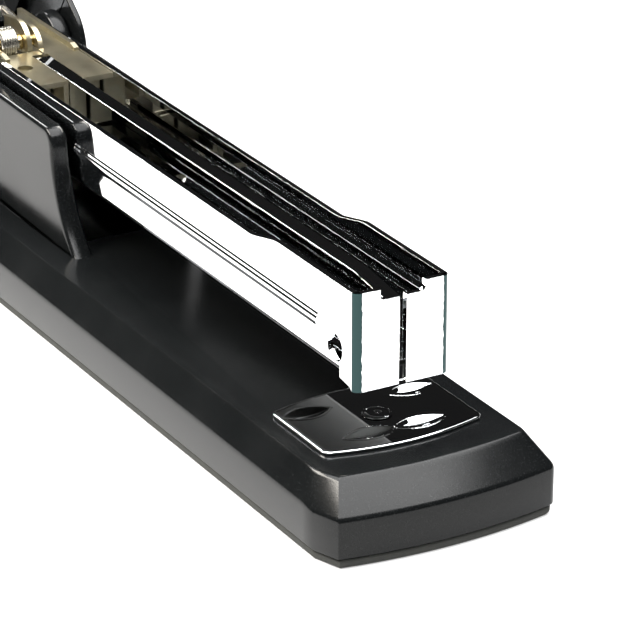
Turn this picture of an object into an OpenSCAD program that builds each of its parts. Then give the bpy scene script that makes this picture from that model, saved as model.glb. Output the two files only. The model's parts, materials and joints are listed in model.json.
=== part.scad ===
// Full-strip desk stapler, standing open for loading: the cover is swung back on its stop, the
// magazine is held up by its lift spring and the pusher is drawn back under the rear bracket.
// Length runs along X with the mouth at +X, +Z is up, and the origin is the middle of the sole's
// underside. The magazine, the cover and the cover's springs all turn on one hinge pin along Y.

/* [Base] */
// Length of the base, corner to corner
base_l = 160; // [130:1:200]
// Width of the base
base_w = 35.4; // [32:0.2:46]
// How far each end of the base bulges at its middle
end_bow = 2; // [1:0.1:3]
// Thickness of the rubber sole
sole_t = 1.5; // [1:0.1:3]
// Height of the upright side above the sole
side_h = 5.6; // [4:0.1:9]
// Height of the sloping band above the upright side
slope_h = 4.1; // [3:0.1:6]
// Inward run of the slope at each end
end_run = 4.6; // [3:0.1:6]
// Inward run of the slope along each side
side_run = 2.4; // [1.5:0.1:3]
// Wall of the moulded base
shell_t = 2.2; // [1.6:0.1:3]
// Thickness of the steel plate that closes the base
plate_t = 1.5; // [1:0.1:2]

/* [Hinge] */
// Distance of the hinge pin from the rear corners of the base
hinge_inset = 22; // [20:0.5:30]
// Height of the hinge pin above the top of the base
hinge_rise = 15.8; // [15:0.2:19]
// Diameter of the hinge pin
pin_d = 4; // [3:0.1:5]
// Thickness of each cheek at its foot
cheek_t = 3.2; // [2.5:0.1:4]
// Gap between the magazine and a cheek
cheek_gap = 0.7; // [0.6:0.1:1.2]
// Radial clearance of a running fit
run_gap = 0.05; // [0.02:0.01:0.1]

/* [Magazine] */
// Outside width of the magazine channel
mag_w = 14.6; // [13:0.2:18]
// Sheet thickness of the channel
sheet_t = 0.9; // [0.7:0.1:1.2]
// Distance from the hinge pin to the front face
reach = 127; // [105:1:140]
// Height of the channel walls, from the floor's underside
wall_h = 11.1; // [10:0.1:14]
// Depth of the floor's underside below the hinge pin
floor_drop = 6.6; // [6:0.1:8]
// Extra height of the walls over the front part
front_rise = 1.5; // [0.5:0.1:2.5]
// Width of the core rail
rail_w = 2.4; // [2.2:0.1:3]
// Sheet thickness of the rail and of the pusher
thin_t = 0.5; // [0.4:0.1:0.7]
// Distance of the drawn-back pusher's front from the hinge pin
pusher_rest = 24.6; // [23:0.1:30]
// Angle through which the magazine is pressed down
press_angle = 2.7; // [1:0.1:2.7]

/* [Anvil] */
// Width of the anvil plate
anvil_w = 24.6; // [22:0.2:28]
// Length of the anvil plate at its middle
anvil_l = 18.8; // [17:0.2:22]
// Thickness of the anvil plate
anvil_t = 0.5; // [0.4:0.1:0.8]
// Distance from the anvil's stud to each pair of grooves
groove_offset = 4.7; // [4.5:0.05:6]
// Diameter of the anvil's stud
stud_d = 5; // [4:0.2:6]

/* [Cover] */
// Angle of the open cover from its closed position
open_angle = 143; // [120:1:143]
// Wall of the cover
cover_t = 1; // [0.9:0.1:1.6]
// Depth of the cover's skirt below the hinge pin
skirt_drop = 7.1; // [6:0.1:8]
// Height of the cover above the hinge pin at its ends
cover_rise = 12.9; // [12:0.1:15]
// Rise of the cover's top between its ends
cover_crown = 2.4; // [1:0.1:4]
// Sheet thickness of the steel liner
liner_t = 1; // [0.8:0.1:1.4]

/* [Hidden] */
$fn = 48;

eps = 0.01;
far = 300;
gap = 0.3;

// Levels and places of the base
slope_z = sole_t + side_h;
top_z = slope_z + slope_h;
half_w = base_w / 2;
nose_x = base_l / 2 + end_bow;
bow_r = (half_w * half_w + end_bow * end_bow) / (2 * end_bow);
roof_z = top_z - shell_t;
plate_top = sole_t + plate_t;

// Hinge pin
hx = -base_l / 2 + hinge_inset;
hz = top_z + hinge_rise;
pin_r = pin_d / 2;
pin_bore = pin_r + run_gap;

// Cheeks
mag_half = mag_w / 2;
cheek_in = mag_half + cheek_gap;
cheek_out = cheek_in + cheek_t;
cheek_lean = 0.4;
cheek_top = 2;
cheek_boss_r = pin_r + 3.2;
cheek_front = 42.5;
cheek_round = 2.5;
cheek_scoop_r = 23.4;
well_half = mag_half - gap;

// Magazine, from the hinge pin
floor_z = -floor_drop;
floor_top = floor_z + sheet_t;
wall_top = floor_z + wall_h;
front_top = wall_top + front_rise;
flap_drop = 1.55;
flap_z = floor_z - flap_drop;
mag_in = mag_half - sheet_t;
slot_x = reach - sheet_t;
slot_l = 1.15;
exit_x = slot_x - slot_l;
rail_half = rail_w / 2;
rail_top = wall_top - 0.3;
rail_rear = 17;
rib_h = 0.45;
rib_z = floor_z + 4.2;
ramp_front = reach - 21.7;
ramp_rear = ramp_front - 6.8;
rib_front = reach - 9.7;
rib_rear = cheek_front + 1;
hole_x = reach - 5.3;
hole_z = floor_z + 3.2;

// Pusher and the window in the rail that its web runs in
pusher_l = 10.5;
pusher_front = pusher_rest;
pusher_rear = pusher_front - pusher_l;
pusher_travel = exit_x - 0.35 - pusher_front;
pusher_top = rail_top - 1.2;
pusher_half = mag_in - 0.25;
web_x = pusher_rear + 4;
web_l = 3;
web_z = floor_top + 1.9;
web_h = 2.6;
window_end = web_x + web_l + pusher_travel + 0.6;
post_x = (window_end + exit_x) / 2;
hook_x = web_x + web_l;
spring_z = floor_top + 7.2;

// Bracket at the rear of the magazine
brk_t = 0.8;
brk_top = rail_top;
brk_out = mag_in - 0.1;
brk_in = brk_out - brk_t;
brk_front = 28.8;
brk_leg_front = pusher_rear - 1.5;
brk_leg = rail_half + 0.1 + brk_t;
guide_x = 10.8;
guide_z = brk_top + 0.8;
guide_r = 0.9;
sleeve_r = 1.25;
ear_y = [-0.9, 1.1];
rivet_x = 6.2;
rivet_z = floor_top + 3;

// Anvil
anvil_x = hx + (slot_x - slot_l / 2) - groove_offset - 0.5;
stud_r = stud_d / 2;
spigot_r = 1.2;
button_r = 4.5;
button_z = sole_t * 0.4;
flange_z = plate_top + 1.3;
boss_z = roof_z - 2.9;
seat_gap = 0.03;
anvil_top = top_z + seat_gap + anvil_t;

// Cover, from the hinge pin, in its closed position
skirt_gap = 0.05;
cover_in = cheek_out + skirt_gap;
cover_half = cover_in + cover_t;
cover_w = 2 * cover_half;
cover_front = reach + 4.5;
cover_top_t = 1.7;
skirt_r = 7.6;
shell_rear = 3;
nose_r = 5;
crown_mid = (cover_front - nose_r + shell_rear) / 2;
crown_span = (cover_front - nose_r - shell_rear) / 2;
crown_r = (crown_span * crown_span + cover_crown * cover_crown) / (2 * cover_crown);
crown_z = cover_rise + cover_crown - crown_r;
liner_z = cover_rise - cover_top_t - liner_t - 0.2;
liner_half = cheek_in + 2.7;
liner_rear = 12;
liner_front = slot_x - 4;
blade_t = 0.5;
blade_x = exit_x + 0.28;
blade_half = mag_in - 0.2;
screw_xs = [liner_rear + 22, liner_front - 20];

// Points of an arc in a plane, from angle a to angle b
function arc(cx, cz, r, a, b, n = 12) =
    [for (i = [0:n]) let (t = a + (b - a) * i / n) [cx + r * cos(t), cz + r * sin(t)]];

// An outline in X and Z given a width w along Y, centred on the middle plane
module across(w) {
    rotate([90, 0, 0]) translate([0, 0, -w / 2]) linear_extrude(w) children();
}

// An outline in X and Z given a thickness along Y, from y0 to y1
module sheet_y(y0, y1) {
    translate([0, (y0 + y1) / 2, 0]) across(y1 - y0) children();
}

// An outline in Y and Z carried along X, from x0 to x1
module along(x0, x1) {
    translate([x0, 0, 0]) rotate([90, 0, 90]) linear_extrude(x1 - x0) children();
}

// A round bar along Y, from y0 to y1
module bar_y(r, y0, y1) {
    translate([0, y0, 0]) rotate([-90, 0, 0]) cylinder(r = r, h = y1 - y0);
}

// The same thing on both sides of the middle plane
module both() {
    children();
    mirror([0, 1, 0]) children();
}

// Puts hinge-based geometry in its place on the base
module at_hinge() {
    translate([hx, 0, hz]) children();
}

// Puts cover geometry, drawn closed, in its open place
module at_cover() {
    at_hinge() rotate([0, -open_angle, 0]) children();
}

// A block the shape of the base, shrunk by a margin on its sides, ends and top
module base_block(z0, margin, top_margin) {
    top = top_z - top_margin;
    shrink = (top - slope_z) / slope_h;
    h = half_w - margin;
    ht = h - side_run * shrink;
    r = bow_r - margin;
    for (end = [0, 1])
        mirror([end, 0, 0])
            intersection() {
                along(-eps, far)
                    polygon([[-h, z0], [h, z0], [h, slope_z], [ht, top], [-ht, top], [-h, slope_z]]);
                translate([nose_x - bow_r, 0, 0])
                    rotate_extrude($fn = 96)
                        polygon([[0, z0], [r, z0], [r, slope_z], [r - end_run * shrink, top], [0, top]]);
            }
}

// Outline of a cheek, from the hinge pin
module cheek_outline() {
    foot = -hinge_rise - 1;
    difference() {
        polygon(concat(
            [[-cheek_boss_r - 1.3, foot], [cheek_front + 11, foot], [cheek_front + 11, cheek_top - cheek_round]],
            arc(cheek_front - cheek_round, cheek_top - cheek_round, cheek_round, 0, 90, 8),
            [[0, cheek_top], [-cheek_boss_r, 0]]
        ));
        translate([cheek_front + cheek_scoop_r, 1.6]) circle(r = cheek_scoop_r, $fn = 96);
    }
    circle(r = cheek_boss_r);
}

module cheek() {
    intersection() {
        at_hinge() across(2 * cheek_out + 2) cheek_outline();
        along(-far, far)
            polygon([
                [cheek_in, top_z - 1], [cheek_out, top_z - 1], [cheek_out, top_z],
                [cheek_out - cheek_lean, hz + cheek_boss_r + 1], [cheek_in, hz + cheek_boss_r + 1]
            ]);
    }
}

screw_places = [for (x = [-base_l / 2 + 9, anvil_x - 28]) for (y = [-1, 1]) [x, y * (half_w - 6.5)]];

module base_shell() {
    boss_top = roof_z + 0.5;
    well_rear = hx - 10;
    well_front = hx + cheek_front + 1.5;
    color("#1d1f20")
    difference() {
        union() {
            difference() {
                base_block(sole_t, 0, 0);
                base_block(sole_t - 1, shell_t, shell_t);
            }
            both() cheek();
            // stop for the open cover
            translate([hx - 13.5, -cheek_in - 1, top_z - 1]) cube([4.2, 2 * cheek_in + 2, hinge_rise - 8.3]);
            // guide for the anvil's stud
            translate([anvil_x, 0, boss_z]) cylinder(r = stud_r + 2.4, h = top_z - boss_z - shell_t / 2);
            for (p = screw_places) translate([p[0], p[1], plate_top]) cylinder(r = 3, h = boss_top - plate_top);
        }
        at_hinge() bar_y(pin_r, -far, far);
        translate([well_rear, -well_half, roof_z - 1]) cube([well_front - well_rear, 2 * well_half, shell_t + 2]);
        translate([anvil_x, 0, 0]) cylinder(r = stud_r + run_gap, h = far);
        for (p = screw_places) translate([p[0], p[1], 0]) cylinder(r = 1.2, h = roof_z);
    }
}

module sole_pad() {
    rim = 0.35;
    color("#3a3c38")
    difference() {
        intersection() {
            base_block(0, rim, 0);
            translate([-far, -far, 0]) cube([2 * far, 2 * far, sole_t]);
        }
        translate([anvil_x, 0, -1]) cylinder(r = button_r + gap, h = sole_t + 2);
    }
}

module base_plate() {
    color("#8d9094")
    difference() {
        intersection() {
            base_block(sole_t, shell_t + gap, 0);
            translate([-far, -far, sole_t]) cube([2 * far, 2 * far, plate_t]);
        }
        translate([anvil_x, 0, 0]) cylinder(r = button_r + gap, h = far);
        for (p = screw_places) translate([p[0], p[1], 0]) cylinder(r = 1.4, h = far);
        for (p = screw_places) translate([p[0], p[1], 0]) cylinder(r = 2.6, h = sole_t + 0.9);
    }
}

module plate_screws() {
    color("#b5b8bb")
    for (p = screw_places)
        translate([p[0], p[1], sole_t]) {
            cylinder(r = 2.3, h = 0.9);
            cylinder(r = 1.2, h = 6);
        }
}

module hinge_pin() {
    color("#a9acb0")
    at_hinge() {
        bar_y(pin_r, -cover_half - 0.5, cover_half + 1.1);
        bar_y(pin_r + 1.4, -cover_half - 1, -cover_half - 0.15);
    }
}

module pin_clip() {
    color("#8f9296")
    at_hinge()
        difference() {
            bar_y(pin_r + 1.3, cover_half + 0.15, cover_half + 0.8);
            bar_y(pin_r, 0, far);
        }
}

module hinge_washers() {
    color("#c9ccd0")
    at_hinge()
        both()
            difference() {
                bar_y(pin_r + 1.8, mag_half + 0.08, cheek_in - 0.08);
                bar_y(pin_r, 0, far);
            }
}

// Leaf that holds the magazine up: flat on the plate, then rising to the channel's floor
leaf_t = 0.5;
leaf_w = 8;
leaf_rear = hx - 8;
leaf_bend = hx + 6;
leaf_tip = hx + cheek_front - 4;
leaf_tip_z = hz + floor_z - leaf_t - 0.15;

module lift_spring() {
    rise = leaf_tip_z - plate_top - leaf_t;
    run = leaf_tip - leaf_bend;
    curve = [for (i = [0:12]) let (t = i / 12) [leaf_bend + run * t, plate_top + rise * t * t * (3 - 2 * t)]];
    color("#9fa3a8")
    across(leaf_w)
        polygon(concat(
            [[leaf_rear, plate_top]], curve,
            [for (i = [12:-1:0]) [curve[i][0], curve[i][1] + leaf_t]],
            [[leaf_rear, plate_top + leaf_t]]
        ));
}

module lift_spring_rivets() {
    color("#b9bcc0")
    for (x = [leaf_rear + 3, leaf_bend - 4])
        translate([x, 0, plate_top + leaf_t]) {
            cylinder(r = 1.8, h = 0.7);
        }
}

// Outline of the anvil plate, centred on its stud
module anvil_outline() {
    tip_bow = 2.1;
    w = anvil_w / 2;
    r = (w * w + tip_bow * tip_bow) / (2 * tip_bow);
    intersection() {
        square([anvil_l, anvil_w], center = true);
        translate([anvil_l / 2 - r, 0]) circle(r = r, $fn = 120);
        translate([r - anvil_l / 2, 0]) circle(r = r, $fn = 120);
    }
}

// A bend groove: a slice of a ring whose sunken part is a long shallow lens
module groove(half_l) {
    belly = 2.1;
    depth = 0.32;
    r = half_l * half_l / (2 * depth);
    translate([0, 0, belly - depth])
        rotate([90, 0, 0])
            rotate_extrude($fn = 48)
                intersection() {
                    translate([belly - r, 0]) circle(r = r, $fn = 240);
                    translate([0, -half_l * 1.3]) square([belly + 1, half_l * 2.6]);
                }
}

module anvil_plate() {
    color("#c8cbd0")
    translate([anvil_x, 0, top_z + seat_gap])
        difference() {
            linear_extrude(anvil_t) anvil_outline();
            translate([0, 0, -1]) cylinder(r = spigot_r + run_gap, h = far);
            for (side = [-1, 1]) {
                translate([groove_offset, side * 3.6, anvil_t]) groove(3.4);
                translate([-groove_offset, side * 7.9, anvil_t]) groove(3.1);
            }
        }
}

module anvil_stud() {
    color("#b9bcc1")
    translate([anvil_x, 0, 0]) {
        translate([0, 0, button_z + 0.6]) cylinder(r = stud_r, h = top_z - button_z - 0.6);
        translate([0, 0, top_z - 1]) cylinder(r = spigot_r, h = anvil_top - top_z + 1.05);
        translate([0, 0, anvil_top + seat_gap]) cylinder(r1 = 2.1, r2 = 1.9, h = 0.15);
    }
}

module anvil_button() {
    color("#2a2c2e")
    translate([anvil_x, 0, button_z])
        difference() {
            cylinder(r = button_r, h = flange_z - button_z);
            translate([0, 0, 0.6]) cylinder(r = stud_r, h = far);
        }
}

// Rings of a small compression spring round the stud
module anvil_spring() {
    wire = 0.25;
    color("#c0c3c7")
    for (z = [flange_z + wire, boss_z - wire, (flange_z + boss_z) / 2])
        translate([anvil_x, 0, z])
            rotate_extrude() translate([stud_r + 1, 0]) circle(r = wire, $fn = 16);
}

// Outline of the channel's sides: low floor line, flared mouth, ramp to the higher front
module channel_side() {
    flare = 12.3;
    polygon(concat(
        arc(0, 0, floor_drop, 180, 270, 10),
        [[reach - flare, floor_z], [reach - 5.5, floor_z - 0.45], [reach - 1.3, floor_z - 1.05]],
        [[reach - 0.9, flap_z], [reach, flap_z], [reach, front_top], [ramp_front, front_top]],
        [[ramp_rear, wall_top], [-floor_drop + 2, wall_top], [-floor_drop, wall_top - 2]]
    ));
}

// Half of the channel's mouth in plan: side wall, bend and front flap
module mouth_plan() {
    bend = 1.1;
    slit = 0.55;
    mouth_rear = exit_x - 2;
    polygon(concat(
        [[mouth_rear, mag_in], [slot_x, mag_in], [slot_x, slit], [reach, slit]],
        arc(reach - bend, mag_half - bend, bend, 0, 90, 6),
        [[mouth_rear, mag_half]]
    ));
}

module magazine_channel() {
    bend = 1;
    color("#d4d7da")
    at_hinge()
        difference() {
            union() {
                intersection() {
                    across(mag_w + 1) channel_side();
                    union() {
                        along(-floor_drop - 1, exit_x)
                            difference() {
                                polygon(concat(
                                    arc(-mag_half + bend, floor_z + bend, bend, 180, 270, 5),
                                    arc(mag_half - bend, floor_z + bend, bend, 270, 360, 5),
                                    [[mag_half, far], [-mag_half, far]]
                                ));
                                translate([-mag_in, floor_top]) square([2 * mag_in, far]);
                            }
                        both()
                            translate([0, 0, flap_z - 1])
                                linear_extrude(front_top - flap_z + 2) mouth_plan();
                    }
                }
                // raised rib along each side
                both()
                    along(rib_rear, rib_front)
                        polygon([
                            [mag_half - eps, rib_z], [mag_half + rib_h, rib_z + 0.9],
                            [mag_half + rib_h, rib_z + 1.6], [mag_half + rib_h * 0.5, rib_z + 1.8],
                            [mag_half + rib_h * 0.4, rib_z + 2.1], [mag_half - eps, rib_z + 2.3]
                        ]);
            }
            bar_y(pin_bore, -far, far);
            translate([hole_x, 0, hole_z]) bar_y(2, -far, far);
            translate([rivet_x, 0, rivet_z]) bar_y(1, -far, far);
            // lowered middle of the flaps, in front of the rail
            along(reach - 3, reach + 1)
                polygon([
                    [-3, front_top - 1.5], [3, front_top - 1.5], [3.45, front_top - 1.2], [3.45, far],
                    [-3.45, far], [-3.45, front_top - 1.2]
                ]);
        }
}

module core_rail() {
    slant = 9;
    color("#b9bdc2")
    at_hinge()
        difference() {
            across(rail_w)
                polygon([
                    [rail_rear, floor_top], [exit_x, floor_top], [exit_x, rail_top - 1.1],
                    [exit_x - slant, rail_top], [rail_rear, rail_top]
                ]);
            across(rail_w - 2 * thin_t)
                polygon([
                    [rail_rear - 1, floor_top - 1], [exit_x + 1, floor_top - 1],
                    [exit_x + 1, rail_top - 1.1 - thin_t], [exit_x - slant, rail_top - thin_t],
                    [rail_rear - 1, rail_top - thin_t]
                ]);
            across(far)
                polygon([
                    [rail_rear - 1, web_z - 0.3], [window_end, web_z - 0.3],
                    [window_end, web_z + web_h + 0.3], [rail_rear - 1, web_z + web_h + 0.3]
                ]);
            translate([post_x, 0, spring_z]) bar_y(0.6, -far, far);
        }
}

// Ear of the bracket that stands up round the guide pin
module ear_outline(top) {
    back = guide_x - 5;
    polygon(concat(
        [[back - 1, brk_top - brk_t], [guide_x + 2.7, brk_top - brk_t]],
        arc(guide_x - 1.3, top - 4, 4, 0, 90, 8),
        [[back - 1, top - 0.6]]
    ));
}

module rail_bracket() {
    lap = rail_rear - 1.2;
    z0 = brk_top - brk_t;
    leg = brk_leg;
    slit_y = [0.55, 0.95];
    near_rear = guide_x + coil_r + 0.5;
    flange_front = brk_front - 12;
    color("#8c8366")
    at_hinge()
        difference() {
            union() {
                // near top plate, with the corner cut away for the spring
                translate([lap - eps, -brk_out, z0]) cube([brk_front - lap, brk_out - leg + brk_t, brk_t]);
                translate([near_rear, -brk_out, z0]) cube([lap - near_rear, brk_out + slit_y[0], brk_t]);
                // far top plate
                translate([lap - eps, leg - brk_t, z0]) cube([brk_front - lap, brk_out - leg + brk_t, brk_t]);
                translate([3, slit_y[1], z0]) cube([lap - 3, brk_out - slit_y[1], brk_t]);
                // legs beside the rail
                for (side = [-1, 1])
                    sheet_y(side * (leg - brk_t / 2) - brk_t / 2, side * (leg - brk_t / 2) + brk_t / 2)
                        polygon([
                            [lap - 3, z0], [lap - 3, web_z + web_h + 0.8], [brk_front, web_z + web_h + 0.8],
                            [brk_front, z0]
                        ]);
                // side legs down to the hinge pin and low flanges along the walls
                both() {
                    sheet_y(brk_in, brk_out)
                        polygon([
                            [-4.2, -3.5], [brk_leg_front, -3.5], [brk_leg_front, brk_top], [-4.2, brk_top]
                        ]);
                    sheet_y(brk_in, brk_out)
                        polygon([
                            [-4.2, z0], [flange_front, z0], [flange_front, brk_top + 0.5],
                            [flange_front - 1.5, brk_top + 0.9], [-4.2, brk_top + 0.9]
                        ]);
                }
                // ears round the guide pin
                sheet_y(ear_y[0], ear_y[0] + brk_t) ear_outline(brk_top + 4.1);
                sheet_y(ear_y[1], ear_y[1] + brk_t) ear_outline(brk_top + 2.9);
                // bridge behind the ears, on the far side
                translate([3, ear_y[0], z0]) cube([2.2, slit_y[1] - ear_y[0] + eps, brk_t]);
            }
            bar_y(pin_bore, -far, far);
            translate([rivet_x, 0, rivet_z]) bar_y(1, -far, far);
            translate([guide_x, 0, guide_z]) bar_y(guide_r, -3, 3);
            translate([brk_front - 8.4, -brk_out + 1.7, 0]) cylinder(r = 1.2, h = far);
        }
}

module bracket_rivets() {
    color("#a8a184")
    at_hinge()
        both()
            translate([rivet_x, 0, rivet_z]) {
                bar_y(1, brk_in - 0.3, mag_half + 0.1);
                bar_y(1.7, mag_half, mag_half + 0.35);
            }
}

module spring_post() {
    color("#b0b3b7")
    at_hinge() translate([post_x, 0, spring_z]) bar_y(0.6, -rail_half, rail_half);
}

module guide_pin() {
    color("#b39b62")
    at_hinge() translate([guide_x, 0, guide_z]) bar_y(guide_r, -5.2, ear_y[1] + brk_t + 0.4);
}

module guide_sleeve() {
    color("#b8a06a")
    at_hinge()
        translate([guide_x, 0, guide_z])
            difference() {
                union() {
                    bar_y(sleeve_r, -5, ear_y[0] - 0.05);
                    bar_y(sleeve_r + 0.3, -3, -2.3);
                }
                bar_y(guide_r, -far, far);
            }
}

// A closed polyhedron through a list of rings of points
module skin_rings(rings) {
    n = len(rings) - 1;
    sides = len(rings[0]);
    walls = [for (i = [0:n - 1]) for (k = [0:sides - 1])
        let (a = i * sides + k, b = i * sides + (k + 1) % sides) [a, b, b + sides, a + sides]];
    polyhedron(
        points = [for (ring = rings) for (p = ring) p],
        faces = concat([[for (k = [sides - 1:-1:0]) k]], walls, [[for (k = [0:sides - 1]) n * sides + k]])
    );
}

// A round wire wound on a helix along Y, leaving it straight along its last tangent for a leg
module coil_y(r, wire, y0, y1, turns, leg, sides = 8, steps = 24) {
    n = round(turns * steps);
    skin_rings([for (i = [0:n + 1])
        let (j = min(i, n), t = 360 * j / steps, y = y0 + (y1 - y0) * j / n, s = i > n ? leg : 0)
        [for (k = [0:sides - 1]) let (a = 360 * k / sides, q = r + wire * cos(a))
            [q * cos(t) - s * sin(t), y + wire * sin(a), q * sin(t) + s * cos(t)]]]);
}

// A round tube along a path in X and Z, at one place across
module tube_xz(path, y, r, sides = 10) {
    n = len(path) - 1;
    skin_rings([for (i = [0:n])
        let (d = path[min(i + 1, n)] - path[max(i - 1, 0)], q = d / norm(d))
        [for (k = [0:sides - 1]) let (a = 360 * k / sides)
            [path[i][0] + r * cos(a) * q[1], y + r * sin(a), path[i][1] - r * cos(a) * q[0]]]]);
}

coil_r = 2.6;
coil_wire = 0.25;
coil_turns = 4.125;
coil_y0 = -brk_in + 0.45;
coil_y1 = coil_y0 + coil_turns * 0.62;
coil_leg = 9;

module cover_spring() {
    color("#c6c3b4")
    at_hinge()
        translate([guide_x, 0, guide_z]) coil_y(coil_r, coil_wire, coil_y1, coil_y0, coil_turns, coil_leg);
}

// Extension spring inside the rail, as its outer shape
module feed_spring() {
    color("#b9bcc0")
    at_hinge()
        translate([hook_x + 1.4, 0, spring_z])
            rotate([0, 90, 0]) cylinder(r = rail_half - thin_t - 0.2, h = post_x - hook_x - 2.2);
}

module pusher() {
    wall = 0.7;
    leg = brk_leg + 0.2;
    color("#8f876b")
    at_hinge() {
        both()
            difference() {
                translate([pusher_rear, leg, floor_top + gap])
                    cube([pusher_l, pusher_half - leg, pusher_top - floor_top - gap]);
                translate([pusher_rear - 1, leg + wall, floor_top])
                    cube([pusher_l + 1 - wall, pusher_half - leg - 2 * wall, pusher_top - wall - floor_top]);
            }
        translate([web_x, -leg - wall / 2, web_z]) cube([web_l, 2 * leg + wall, web_h]);
    }
}

module pusher_hook() {
    half = rail_half - thin_t - 0.25;
    color("#a5a8ab")
    at_hinge()
        translate([hook_x - 1, -half, web_z + web_h]) cube([2.3, 2 * half, spring_z - web_z - web_h + 0.7]);
}

// Straight lengths of a thin spring that draws the pusher back, as their outer shape
retract_y = 4;
retract_r = 0.8;
retract_path = [[pusher_rear + 1.2, 0.9], [5, 1.1], [0.6, 3.6], [-6, 4.6], [-10.6, 2.1]];

module retract_spring() {
    color("#bdbfc2") at_hinge() tube_xz(retract_path, retract_y, retract_r);
}

// Arc of the cover's crowned top, lowered by a margin, from x0 to x1
function crown(x0, x1, margin) =
    let (r = crown_r - margin, a = acos((x0 - crown_mid) / r), b = acos((x1 - crown_mid) / r))
    arc(crown_mid, crown_z, r, a, b, 24);

module cover_outline() {
    x1 = cover_front - nose_r;
    polygon(concat(
        arc(0, 0, skirt_r, 270, 110, 16),
        crown(shell_rear, x1, 0),
        arc(x1, cover_rise - nose_r, nose_r, 90, 0, 8),
        [[cover_front, -1.5], [cover_front - 1.8, -3.6], [cover_front - 9, -4.2], [50, -skirt_drop], [0, -skirt_r]]
    ));
}

module cover_hollow() {
    x1 = cover_front - nose_r;
    polygon(concat(
        [[-far, -far], [-far, far], [shell_rear, far]],
        crown(shell_rear, x1, cover_top_t),
        arc(x1, cover_rise - nose_r, nose_r - cover_top_t, 90, 0, 8),
        [[cover_front - cover_top_t, -far]]
    ));
}

module cover_shell() {
    boss_h = 6;
    color("#161819")
    at_cover()
        difference() {
            union() {
                difference() {
                    across(cover_w) cover_outline();
                    across(2 * cover_in) cover_hollow();
                }
                intersection() {
                    across(cover_w) cover_outline();
                    for (x = screw_xs) translate([x, 0, liner_z + liner_t]) cylinder(r = 3, h = boss_h);
                }
            }
            bar_y(pin_bore, -far, far);
            for (x = screw_xs) translate([x, 0, 0]) cylinder(r = 1.1, h = liner_z + liner_t + 1.8);
        }
}

module cover_liner() {
    low = cheek_top + (cheek_front + 4) * tan(press_angle) + gap;
    color("#aeb2b6")
    at_cover()
        difference() {
            along(liner_rear, liner_front)
                polygon([
                    [-liner_half, low], [-liner_half, liner_z + liner_t], [liner_half, liner_z + liner_t],
                    [liner_half, low], [liner_half - liner_t, low], [liner_half - liner_t, liner_z],
                    [-liner_half + liner_t, liner_z], [-liner_half + liner_t, low]
                ]);
            for (x = screw_xs) translate([x, 0, 0]) cylinder(r = 1.3, h = far);
        }
}

module liner_screws() {
    color("#c2c5c8")
    at_cover()
        for (x = screw_xs)
            translate([x, 0, liner_z]) {
                translate([0, 0, -1]) cylinder(r = 2.2, h = 1);
                translate([0, 0, -0.5]) cylinder(r = 1.1, h = liner_t + 2.2);
            }
}

module driver_blade() {
    tail = 11;
    color("#9ea2a6")
    at_cover()
        across(2 * blade_half)
            polygon([
                [blade_x, flap_z + 0.75], [blade_x + blade_t, flap_z + 0.75], [blade_x + blade_t, liner_z],
                [blade_x - tail, liner_z], [blade_x - tail, liner_z - blade_t], [blade_x, liner_z - blade_t]
            ]);
}

module driver_rivets() {
    color("#c2c5c8")
    at_cover()
        for (y = [-3, 3])
            translate([blade_x - 7.5, y, liner_z - blade_t - 0.5]) cylinder(r = 1.3, h = 0.5);
}

hold_rear = liner_rear + 40;
hold_front = hold_rear + 42;

module hold_down_spring() {
    low = rail_top + 1;
    drop = liner_z - 0.45 - low;
    curve = [for (i = [0:10]) let (t = i / 10)
        [hold_rear + 8 + (hold_front - hold_rear - 8) * t, liner_z - 0.45 - drop * t * t * (3 - 2 * t)]];
    color("#a4a8ac")
    at_cover()
        across(5)
            polygon(concat(
                [[hold_rear, liner_z - 0.45]], curve,
                [for (i = [10:-1:0]) [curve[i][0], curve[i][1] + 0.4]],
                [[hold_rear, liner_z - 0.05]]
            ));
}

module hold_down_rivet() {
    color("#c2c5c8")
    at_cover() translate([hold_rear + 4, 0, liner_z - 1]) cylinder(r = 1.5, h = 0.55);
}

module spring_anchor() {
    color("#a4a8ac")
    at_cover()
        sheet_y(retract_y - 1.4, retract_y + 1.4)
            polygon([
                [8.4, liner_z - 2.4], [9.1, liner_z - 2.4], [9.1, liner_z - 0.7], [17, liner_z - 0.7],
                [17, liner_z], [8.4, liner_z]
            ]);
}

module finger_pad() {
    pad_l = 34;
    pad_t = 0.8;
    x1 = cover_front - nose_r - 1;
    color("#2b2d2e")
    at_cover()
        across(cover_w - 7)
            polygon(concat(crown(x1 - pad_l, x1, -pad_t), [for (i = [24:-1:0]) crown(x1 - pad_l, x1, 0)[i]]));
}

base_shell();
sole_pad();
base_plate();
plate_screws();
hinge_pin();
pin_clip();
hinge_washers();
lift_spring();
lift_spring_rivets();
anvil_plate();
anvil_stud();
anvil_button();
anvil_spring();
magazine_channel();
core_rail();
rail_bracket();
bracket_rivets();
spring_post();
guide_pin();
guide_sleeve();
cover_spring();
feed_spring();
pusher();
pusher_hook();
retract_spring();
cover_shell();
cover_liner();
liner_screws();
driver_blade();
driver_rivets();
hold_down_spring();
hold_down_rivet();
spring_anchor();
finger_pad();
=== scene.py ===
"""Looks of a full-strip desk stapler that stands open: a moulded base with a turning anvil, a chromed
magazine with its core rail, passivated bracket and springs, and a cover swung back on its stop.

Lengths inside the classes are in millimetres in the row frame, and `Shop.make` turns them into metres.
"""

from __future__ import annotations

import json
import logging
import math
from dataclasses import dataclass, field
from enum import Enum
from typing import Iterable, Sequence

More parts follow.
